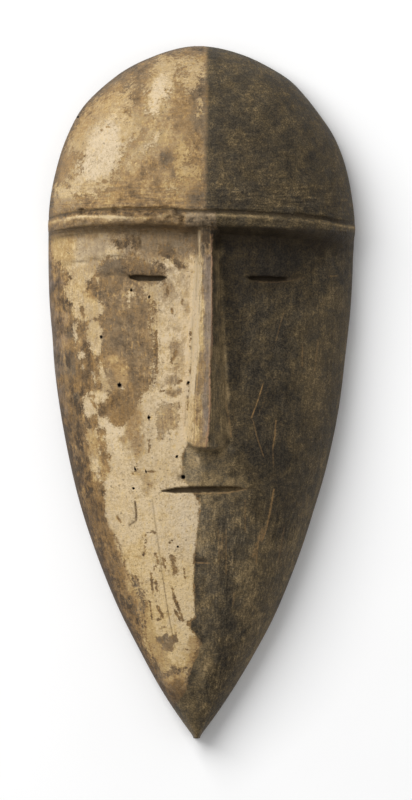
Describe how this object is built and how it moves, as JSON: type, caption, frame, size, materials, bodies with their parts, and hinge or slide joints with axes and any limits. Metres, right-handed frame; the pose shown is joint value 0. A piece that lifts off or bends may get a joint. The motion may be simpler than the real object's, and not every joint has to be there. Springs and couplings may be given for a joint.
{
  "type": "miniature face mask",
  "caption": "Long wooden face mask lying face up, with a domed forehead, rolled brow band, wedge nose, slit eyes and mouth, pointed chin and hollow back.",
  "frame": {"origin": "middle of the mask's box, on the flat back of its rim, which it lies on", "axes": "+Z out of the face, +Y to the crown, +X to the viewer's right"},
  "size_m": [0.1109, 0.25, 0.0462],
  "materials": {
    "painted_wood": "carved wood with worn matt pigment, pale on one half and dark on the other"
  },
  "bodies": {
    "root": {"mask": "painted_wood"}
  },
  "joints": []
}
